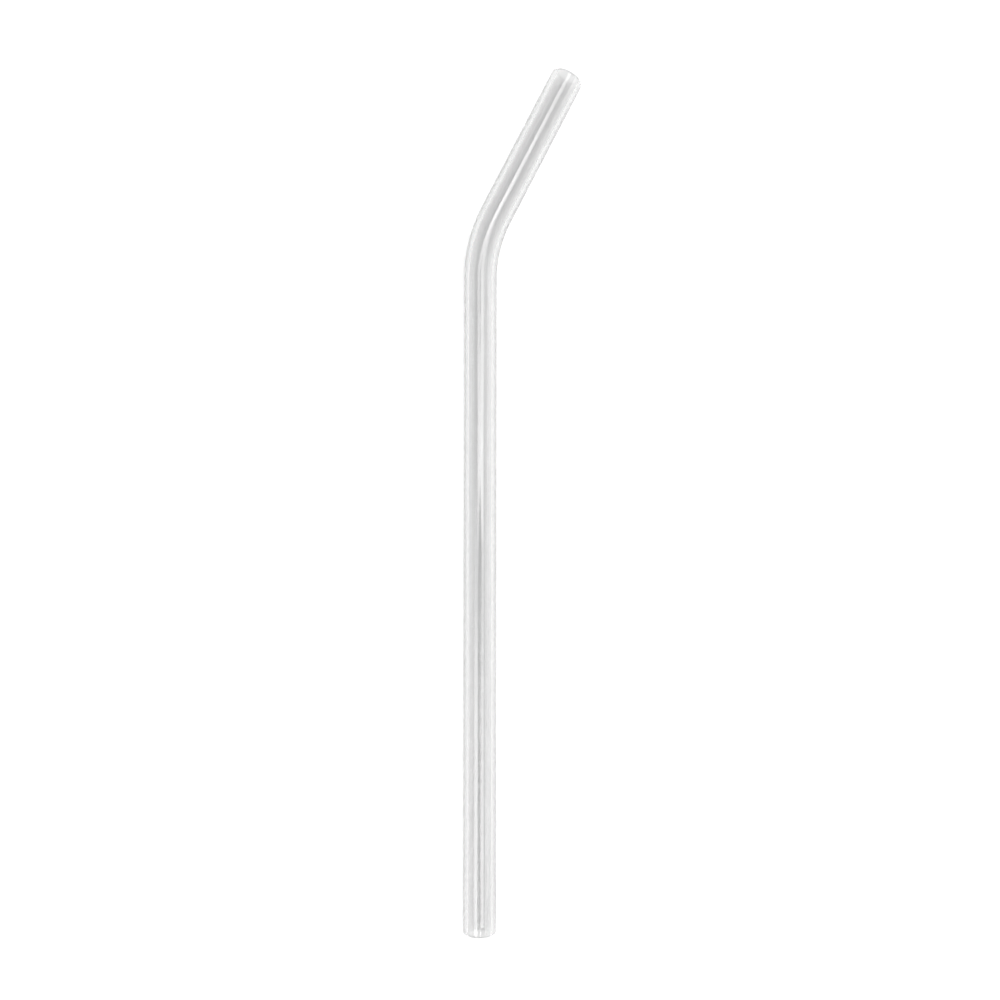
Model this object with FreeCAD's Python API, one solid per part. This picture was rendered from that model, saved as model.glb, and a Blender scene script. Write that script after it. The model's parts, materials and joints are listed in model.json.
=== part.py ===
import FreeCAD, Part
import math
import os

# Glass drinking straw: one length of drawn clear tube, bent once below the mouth end, with both
# cut ends melted round in a flame. It lies on its side on the ground at Z = 0. The stem points
# along +Y, the mouth arm leans towards +X, and the origin is under the middle of the outline.

# Sizes of the tube itself, in millimetres.
outside_diameter = 8.0
wall_thickness = 1.2

# Lengths along the centre line: each straight runs from its melted tip to the bend.
stem_length = 158.7
mouth_length = 39.0
bend_radius = 34.9
bend_angle = 27.1

outside_radius = outside_diameter / 2
bore_radius = outside_radius - wall_thickness
rim_radius = wall_thickness / 2
rim_ring_radius = bore_radius + rim_radius
bend = math.radians(bend_angle)

stem_way = FreeCAD.Vector(0, 1, 0)
mouth_way = FreeCAD.Vector(math.sin(bend), math.cos(bend), 0)
across = FreeCAD.Vector(1, 0, 0)


def on_bend(turn):
    """The point of the centre line that lies this far round the bend, in radians."""
    reach = math.sin(turn) * bend_radius
    drift = (1 - math.cos(turn)) * bend_radius
    return stem_end + stem_way * reach + across * drift


# The centre line, first with the tip of the stem at X = 0 and Y = 0. A melted tip is half a
# wall long, so the swept tube stops that much short of it.
stem_tip = FreeCAD.Vector(0, 0, outside_radius)
stem_foot = stem_tip + stem_way * rim_radius
stem_end = stem_tip + stem_way * stem_length
bend_middle = on_bend(bend / 2)
bend_end = on_bend(bend)
mouth_top = bend_end + mouth_way * (mouth_length - rim_radius)

centre_line = Part.Wire([
    Part.LineSegment(stem_foot, stem_end).toShape(),
    Part.Arc(stem_end, bend_middle, bend_end).toShape(),
    Part.LineSegment(bend_end, mouth_top).toShape(),
])


def drawn_tube():
    """The ring-shaped section of the tube, carried along the centre line."""
    outer_edge = Part.Wire([Part.makeCircle(outside_radius, stem_foot, stem_way)])
    bore_edge = Part.Wire([Part.makeCircle(bore_radius, stem_foot, stem_way)])
    section = Part.makeFace([outer_edge, bore_edge], "Part::FaceMakerBullseye")
    return centre_line.makePipe(section)


def melted_rim(centre, outward):
    """The full-round lip of a flame-polished end: half a ring as thick as the wall."""
    return Part.makeTorus(rim_ring_radius, rim_radius, centre, outward, 0, 180)


straw = drawn_tube().fuse([melted_rim(stem_foot, stem_way * -1), melted_rim(mouth_top, mouth_way)])
straw = straw.removeSplitter().Solids[0]

# The outline reaches from the stem's side to the outer edge of the mouth, and from tip to tip.
widest = mouth_top.x + rim_ring_radius * math.cos(bend) + rim_radius
furthest = mouth_top.y + rim_ring_radius * math.sin(bend) + rim_radius
straw.translate(FreeCAD.Vector((outside_radius - widest) / 2, -furthest / 2, 0))

os.makedirs("parts", exist_ok=True)
straw.exportStep("parts/straw.step")
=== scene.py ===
import json
import math

import bmesh
import bpy
from mathutils import Matrix, Vector


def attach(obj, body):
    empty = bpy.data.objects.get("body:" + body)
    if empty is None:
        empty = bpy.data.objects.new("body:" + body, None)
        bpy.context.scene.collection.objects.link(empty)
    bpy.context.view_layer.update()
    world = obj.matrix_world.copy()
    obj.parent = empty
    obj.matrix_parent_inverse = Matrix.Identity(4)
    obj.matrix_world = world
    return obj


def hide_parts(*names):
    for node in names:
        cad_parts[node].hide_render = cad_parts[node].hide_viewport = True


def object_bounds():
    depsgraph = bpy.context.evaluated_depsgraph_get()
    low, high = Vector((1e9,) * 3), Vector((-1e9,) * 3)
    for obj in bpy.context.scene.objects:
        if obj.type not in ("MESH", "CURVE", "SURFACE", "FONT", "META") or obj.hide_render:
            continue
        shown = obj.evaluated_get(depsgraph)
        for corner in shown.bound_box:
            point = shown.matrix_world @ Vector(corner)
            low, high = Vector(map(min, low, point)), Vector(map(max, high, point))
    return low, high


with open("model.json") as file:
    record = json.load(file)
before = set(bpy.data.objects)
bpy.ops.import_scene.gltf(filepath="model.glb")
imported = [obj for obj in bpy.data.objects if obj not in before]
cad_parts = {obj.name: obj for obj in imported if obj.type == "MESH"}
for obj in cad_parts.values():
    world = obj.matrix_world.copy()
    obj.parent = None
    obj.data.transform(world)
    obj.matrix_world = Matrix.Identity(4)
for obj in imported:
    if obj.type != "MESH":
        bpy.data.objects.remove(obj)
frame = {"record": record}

cad_box = [list(corner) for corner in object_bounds()]


# ---------------------------------------------------------------------------------------------
# The straw is one length of drawn borosilicate tube, clear and colourless, bent once over a
# burner. Both cut ends were turned in the flame until the wall melted into a full round lip.
# Nothing is fixed to it, and it lies on its side.

mm_in_metre = 1000
mounts = {mount["name"]: mount for mount in frame["record"]["mounts"]}
outside_radius = mounts["stem_outside"]["dims"]["r_mm"] / mm_in_metre
bore_radius = mounts["stem_bore"]["dims"]["r_mm"] / mm_in_metre
lip_radius = (outside_radius - bore_radius) / 2
lip_ring_radius = bore_radius + lip_radius


def straight_run(mount):
    """The two ends and the direction of a straight run of tube, from the foot to the mouth."""
    way = Vector(mount["axis"]).normalized()
    if way.y < 0:
        way = -way
    half = way * mount["dims"]["length_mm"] / (2 * mm_in_metre)
    middle = Vector(mount["pos_m"])
    return middle - half, middle + half, way


stem_foot, stem_end, stem_way = straight_run(mounts["stem_outside"])
bend_end, mouth_top, mouth_way = straight_run(mounts["mouth_outside"])
up = Vector((0, 0, 1))
bend_turn = stem_way.angle(mouth_way)
bend_radius = (bend_end - stem_end).length / 2 / math.sin(bend_turn / 2)
bend_inward = stem_way.cross(up)
stem_length = (stem_end - stem_foot).length
mouth_length = (mouth_top - bend_end).length
bend_start_along = stem_length
bend_end_along = stem_length + bend_radius * bend_turn
straw_length = bend_end_along + mouth_length

stem_rings = 10
bend_rings = 64
mouth_rings = 5
lip_rings = 18
sides = 320


def centre_line():
    """Along the middle of the tube: each point, the direction there and the way from the foot."""
    for i in range(stem_rings):
        share = i / stem_rings
        yield stem_foot.lerp(stem_end, share), stem_way, share * stem_length
    for i in range(bend_rings):
        turn = bend_turn * i / bend_rings
        across = bend_inward * (1 - math.cos(turn))
        point = stem_end + (stem_way * math.sin(turn) + across) * bend_radius
        way = stem_way * math.cos(turn) + bend_inward * math.sin(turn)
        yield point, way, bend_start_along + bend_radius * turn
    for i in range(mouth_rings + 1):
        share = i / mouth_rings
        along = bend_end_along + share * mouth_length
        yield bend_end.lerp(mouth_top, share), mouth_way, along


def lip(centre, outward, along, first):
    """Rings over a melted lip, from its first side, 1 the outside or -1 the bore, to the other."""
    way = outward if outward.dot(stem_way) > 0 else -outward
    for i in range(1, lip_rings):
        turn = math.pi * i / lip_rings
        reach = lip_radius * math.sin(turn)
        radius = lip_ring_radius + first * lip_radius * math.cos(turn)
        yield centre + outward * reach, way, along + reach * outward.dot(way), radius


line = list(centre_line())
rings = [(point, way, along, outside_radius) for point, way, along in line]
rings += lip(mouth_top, mouth_way, straw_length, 1)
rings += [(point, way, along, bore_radius) for point, way, along in reversed(line)]
rings += lip(stem_foot, -stem_way, 0.0, -1)

skin = bmesh.new()
unbent = skin.verts.layers.float_vector.new("unbent")
loops = []
for point, way, along, radius in rings:
    side = way.cross(up)
    loop = []
    for j in range(sides):
        turn = 2 * math.pi * j / sides
        out, rise = radius * math.cos(turn), radius * math.sin(turn)
        corner = skin.verts.new(point + side * out + up * rise)
        corner[unbent] = Vector((out, rise, along))
        loop.append(corner)
    loops.append(loop)
for i, loop in enumerate(loops):
    after = loops[(i + 1) % len(loops)]
    for j in range(sides):
        k = (j + 1) % sides
        skin.faces.new((loop[j], loop[k], after[k], after[j])).smooth = True
bmesh.ops.recalc_face_normals(skin, faces=skin.faces)
tube_mesh = bpy.data.meshes.new("glass_tube")
skin.to_mesh(tube_mesh)
skin.free()
tube = bpy.data.objects.new("glass_tube", tube_mesh)
bpy.context.scene.collection.objects.link(tube)


class Wire:
    """A socket of a shader: arithmetic on it adds Math nodes, and node() adds any other kind."""

    def __init__(self, tree, socket=None):
        self.tree = tree
        self.socket = socket

    def node(self, kind, settings, values, output=0):
        """Adds a node: its settings first, then the numbers or wires that its sockets take."""
        made = self.tree.nodes.new(kind)
        for name, setting in settings.items():
            setattr(made, name, setting)
        for name, value in values.items():
            if isinstance(value, Wire):
                self.tree.links.new(value.socket, made.inputs[name])
            else:
                made.inputs[name].default_value = value
        return Wire(self.tree, made.outputs[output] if made.outputs else None)

    def maths(self, operation, *values):
        """Adds a Math node, and gives the wire of its result."""
        return self.node("ShaderNodeMath", {"operation": operation}, dict(enumerate(values)))

    def __add__(self, other):
        return self.maths("ADD", self, other)

    def __sub__(self, other):
        return self.maths("SUBTRACT", self, other)

    def __mul__(self, other):
        return self.maths("MULTIPLY", self, other)

    def __rsub__(self, other):
        return self.maths("SUBTRACT", other, self)

    __radd__ = __add__
    __rmul__ = __mul__

    def stretched(self, around, along):
        """A place on the unbent tube, with so many grains a metre round the tube and along it."""
        scale = {"operation": "MULTIPLY"}
        return self.node("ShaderNodeVectorMath", scale, {0: self, 1: (around, around, along)})

    def noise(self, detail):
        """Soft random grains of one unit, with so much finer detail in them."""
        values = {"Vector": self, "Scale": 1.0, "Detail": detail}
        return self.node("ShaderNodeTexNoise", {}, values)

    def ramp(self, start, end):
        """A smooth step from 0 at start to 1 at end."""
        smooth = {"interpolation_type": "SMOOTHSTEP"}
        values = {"Value": self, "From Min": start, "From Max": end}
        return self.node("ShaderNodeMapRange", smooth, values)


# how high each kind of relief stands, in metres, and its grains a metre round and along the tube
draw_line_height = 0.6e-6
draw_line_grains = (2400, 9)
draw_line_detail = 2.0
wave_height = 1.6e-6
wave_grains = (260, 45)
wave_detail = 1.0
burner_wave_height = 3e-6
burner_wave_grains = (330, 160)
burner_reach = 0.012
seed_grains = (420, 110)
seed_core = 0.02
seed_edge = 0.07
haze_grains = (180, 70)
haze_detail = 4.0
haze_start = 0.56
haze_full = 0.72
haze_roughness = 0.03
glass_index = 1.474
clear_colour = (1.0, 1.0, 1.0, 1.0)
seed_colour = (0.86, 0.86, 0.86, 1.0)

glass = bpy.data.materials.new("clear_glass")
glass.use_nodes = True
glass.node_tree.nodes.clear()
shader = Wire(glass.node_tree)
place = shader.node("ShaderNodeAttribute", {"attribute_name": "unbent"}, {}, "Vector")
along = place.node("ShaderNodeSeparateXYZ", {}, {0: place}, "Z")

# fine lines along the tube from the drawing die, and slow waves in the wall
draw_lines = place.stretched(*draw_line_grains).noise(draw_line_detail)
waves = place.stretched(*wave_grains).noise(wave_detail)
# where the burner softened the wall it is a little wavier: over the bend and behind each lip
over_bend = along.ramp(bend_start_along - burner_reach, bend_start_along) * (
    1 - along.ramp(bend_end_along, bend_end_along + burner_reach)
)
behind_foot = 1 - along.ramp(0.0, burner_reach)
behind_mouth = along.ramp(straw_length - burner_reach, straw_length)
burner_waves = place.stretched(*burner_wave_grains).noise(wave_detail)
burner_waves = burner_waves * (over_bend + behind_foot + behind_mouth)
height = draw_lines * draw_line_height + waves * wave_height + burner_waves * burner_wave_height
relief = height.node("ShaderNodeBump", {}, {"Height": height, "Distance": 1.0, "Strength": 1.0})

# a few seeds, drawn long with the glass, and the thin haze of a wiped surface
seed_place = place.stretched(*seed_grains)
seed_distance = place.node("ShaderNodeTexVoronoi", {}, {"Vector": seed_place, "Scale": 1.0})
seeds = 1 - seed_distance.ramp(seed_core, seed_edge)
haze = place.stretched(*haze_grains).noise(haze_detail).ramp(haze_start, haze_full)
# a colour mix takes its colours at sockets 6 and 7, and gives the mixed colour at output 2
colour = seeds.node(
    "ShaderNodeMix", {"data_type": "RGBA"}, {0: seeds, 6: clear_colour, 7: seed_colour}, 2
)
surface = shader.node(
    "ShaderNodeBsdfPrincipled",
    {},
    {
        "Base Color": colour,
        "Roughness": haze * haze_roughness,
        "IOR": glass_index,
        "Transmission Weight": 1.0,
        "Normal": relief,
    },
)
surface.node("ShaderNodeOutputMaterial", {}, {"Surface": surface})
tube_mesh.materials.append(glass)

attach(tube, "root")
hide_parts("straw")


# ---------------------------------------------------------------------------------------------
# The table top is a plain sheet of white laminate, matt, laid flat under the straw. It is the
# whole background, so what looks at it sees it a little whiter than its own colour.

table_size = 0.9
table_white = (0.55, 0.55, 0.55, 1.0)
white_for_eye = 0.52
white_through_glass = 0.229

bpy.ops.mesh.primitive_plane_add(size=table_size, location=(0, 0, 0))
table = bpy.context.object
table.name = "table_top"
laminate = bpy.data.materials.new("white_laminate")
laminate.use_nodes = True
laminate.node_tree.nodes.clear()
shader = Wire(laminate.node_tree)
seen = shader.node("ShaderNodeLightPath", {}, {}, "Is Camera Ray")
mirrored = shader.node("ShaderNodeLightPath", {}, {}, "Is Glossy Ray")
refracted = shader.node("ShaderNodeLightPath", {}, {}, "Is Transmission Ray")
in_glass = mirrored.maths("MAXIMUM", mirrored, refracted)
whiter = seen * white_for_eye + in_glass * white_through_glass
matt = shader.node("ShaderNodeBsdfDiffuse", {}, {"Color": table_white})
lift = shader.node("ShaderNodeEmission", {}, {"Strength": whiter})
both = shader.node("ShaderNodeAddShader", {}, {0: matt, 1: lift})
both.node("ShaderNodeOutputMaterial", {}, {"Surface": both})
table.data.materials.append(laminate)


# ---------------------------------------------------------------------------------------------
# The light is five soft boxes on stands round the table, each a white cloth front that is dimmer
# towards its edges. Two big ones hang over the halves of the straw, with a narrow strip between
# them, and two more stand lower at its right. The rest is the light of a white room.

box_distance = 0.4


def soft_box(name, turn, middle, size, yaw, fades_across, fades_along, radiance):
    """A soft box turned so far round the stem from straight up, at a place along it, and yawed.

    Angles are in degrees, sizes in metres, and each fade is a share of the front from that edge.
    """
    lamp = bpy.data.lights.new(name, "AREA")
    lamp.shape = "RECTANGLE"
    lamp.size, lamp.size_y = size
    # the power at which the middle of the front has this radiance
    lamp.energy = radiance * math.pi * lamp.size * lamp.size_y
    lamp.use_nodes = True
    lamp.node_tree.nodes.clear()
    cloth = Wire(lamp.node_tree)
    spot = cloth.node("ShaderNodeNewGeometry", {}, {}, "Parametric")
    across = spot.node("ShaderNodeSeparateXYZ", {}, {0: spot}, "X")
    down = spot.node("ShaderNodeSeparateXYZ", {}, {0: spot}, "Y")
    front = across.ramp(0, fades_across[0]) * (1 - across.ramp(1 - fades_across[1], 1))
    front = front * down.ramp(0, fades_along[0]) * (1 - down.ramp(1 - fades_along[1], 1))
    glow = cloth.node("ShaderNodeEmission", {}, {"Strength": front})
    glow.node("ShaderNodeOutputLight", {}, {0: glow})
    stand = bpy.data.objects.new(name, lamp)
    bpy.context.scene.collection.objects.link(stand)
    turn = math.radians(turn)
    back = Vector((math.sin(turn), 0, math.cos(turn)))
    place = Matrix((stem_way.cross(back), stem_way, back)).transposed().to_4x4()
    place.translation = Vector((stem_end.x, middle, outside_radius)) + back * box_distance
    stand.matrix_world = place @ Matrix.Rotation(-math.radians(yaw), 4, "Z")
    stand.visible_camera = False


soft_box(
    "left_box", turn=-32.6, middle=-0.142, size=(0.205, 0.435), yaw=4.3,
    fades_across=(0.26, 0.02), fades_along=(0.17, 0.54), radiance=5.20,
)
soft_box(
    "right_box", turn=17.3, middle=0.210, size=(0.316, 0.509), yaw=18.5,
    fades_across=(0.39, 0.50), fades_along=(0.11, 0.98), radiance=6.47,
)
soft_box(
    "strip_box", turn=3.3, middle=-0.182, size=(0.050, 0.358), yaw=-6.2,
    fades_across=(0.20, 0.35), fades_along=(0.27, 0.39), radiance=4.51,
)
soft_box(
    "side_box", turn=46.6, middle=-0.012, size=(0.106, 0.507), yaw=-13.7,
    fades_across=(0.08, 0.14), fades_along=(0.02, 0.98), radiance=2.94,
)
soft_box(
    "low_box", turn=65.8, middle=0.332, size=(0.140, 1.272), yaw=-6.3,
    fades_across=(0.19, 0.20), fades_along=(0.84, 0.30), radiance=4.42,
)

# the room: white walls all round with a greyer dado, a greyer ceiling, and its dark middle above
# the lamps. Each edge is given as the height of the line of sight to it, from 0 level to 1 up.
wall_level = 0.98
ceiling_level = 0.43
overhead_level = 0.1
wall_colour = (1.0, 1.0, 1.0, 1.0)
dado_level = 0.6
dado_bottom = 0.05
dado_top = 0.17
wall_top = 0.30
ceiling_start = 0.70
ceiling_end = 0.85
overhead_start = 0.93
room = bpy.data.worlds.new("studio_room")
bpy.context.scene.world = room
room.use_nodes = True
room.node_tree.nodes.clear()
shader = Wire(room.node_tree)
heading = shader.node("ShaderNodeTexCoord", {}, {}, "Generated")
rise = heading.node("ShaderNodeSeparateXYZ", {}, {0: heading}, "Z")
light = wall_level - rise.ramp(wall_top, ceiling_start) * (wall_level - ceiling_level)
light = light - rise.ramp(ceiling_end, overhead_start) * (ceiling_level - overhead_level)
light = light * (rise.ramp(dado_bottom, dado_top) * (1 - dado_level) + dado_level)
seen = shader.node("ShaderNodeLightPath", {}, {}, "Is Camera Ray")
room_light = light.maths("MAXIMUM", light, seen)
air = shader.node("ShaderNodeBackground", {}, {"Color": wall_colour, "Strength": room_light})
air.node("ShaderNodeOutputWorld", {}, {"Surface": air})


# ---------------------------------------------------------------------------------------------
# The camera hangs close over the table and looks down on the straw, turned a little to the left
# of straight down. The stem runs up the frame, the arm leans to its right.

sensor_width = 36
nearest_seen = 0.01
camera_distance = 0.265
frame_width = 0.2441
beside_stem = 0.00488
below_middle = 0.00082
turned_left = math.radians(5)
tipped_down = math.radians(1.22)
roll = math.radians(0.056)

straw_middle = (Vector(cad_box[0]) + Vector(cad_box[1])) / 2
aim = Vector((stem_end.x + beside_stem, straw_middle.y - below_middle, outside_radius))
lens = bpy.data.cameras.new("camera")
lens.sensor_width = sensor_width
lens.lens = sensor_width * camera_distance / frame_width
lens.clip_start = nearest_seen
camera = bpy.data.objects.new("camera", lens)
bpy.context.scene.collection.objects.link(camera)
camera.matrix_world = (
    Matrix.Translation(aim)
    @ Matrix.Rotation(-turned_left, 4, "Y")
    @ Matrix.Rotation(tipped_down, 4, "X")
    @ Matrix.Rotation(roll, 4, "Z")
    @ Matrix.Translation((0, 0, camera_distance))
)
bpy.context.scene.camera = camera
bpy.context.scene.view_settings.view_transform = "Standard"

# light that enters a lip runs on inside the wall, mirrored hundreds of times before it leaves
bounces = 300
bpy.context.scene.cycles.max_bounces = bounces
bpy.context.scene.cycles.transmission_bounces = bounces
bpy.context.scene.cycles.glossy_bounces = bounces
